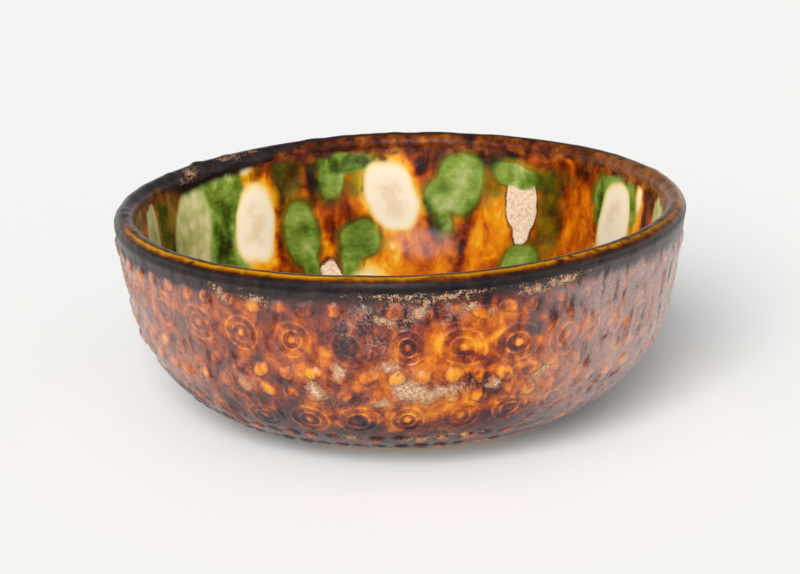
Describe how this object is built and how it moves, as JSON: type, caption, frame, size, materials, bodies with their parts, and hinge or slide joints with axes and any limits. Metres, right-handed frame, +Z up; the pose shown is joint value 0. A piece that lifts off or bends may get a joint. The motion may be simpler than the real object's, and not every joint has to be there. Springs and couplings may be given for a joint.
{
  "type": "ceramic bowl",
  "caption": "Moulded earthenware bowl with a low foot, splashed three-colour glaze inside and rows of bosses and ringed roundels under amber glaze outside.",
  "frame": {"origin": "on the table plane, under the centre of the rim", "axes": "+Z up out of the bowl's mouth, -Y towards the viewer, +X to the viewer's right"},
  "size_m": [0.1125, 0.1126, 0.0443],
  "materials": {
    "earthenware": "dry fired buff clay, open at the ground foot",
    "white_slip": "thin fired pale slip",
    "three_colour_glaze": "glossy lead glaze splashed green, amber and cream",
    "rim_glaze": "thick glossy amber glaze with dark pools",
    "amber_glaze": "glossy amber-brown lead glaze, iridescent in patches",
    "relief_glaze": "glossy amber glaze, thin and orange over the relief"
  },
  "bodies": {
    "root": {"clay_body": "earthenware", "slip_coat": "white_slip", "inner_glaze": "three_colour_glaze", "rim_glaze": "rim_glaze", "outer_glaze": "amber_glaze", "rim_boss_row": "relief_glaze", "upper_roundels": "relief_glaze", "middle_boss_row_upper": "relief_glaze", "middle_boss_row_lower": "relief_glaze", "lower_roundels": "relief_glaze", "base_boss_row_upper": "relief_glaze", "base_boss_row_lower": "relief_glaze"}
  },
  "joints": []
}
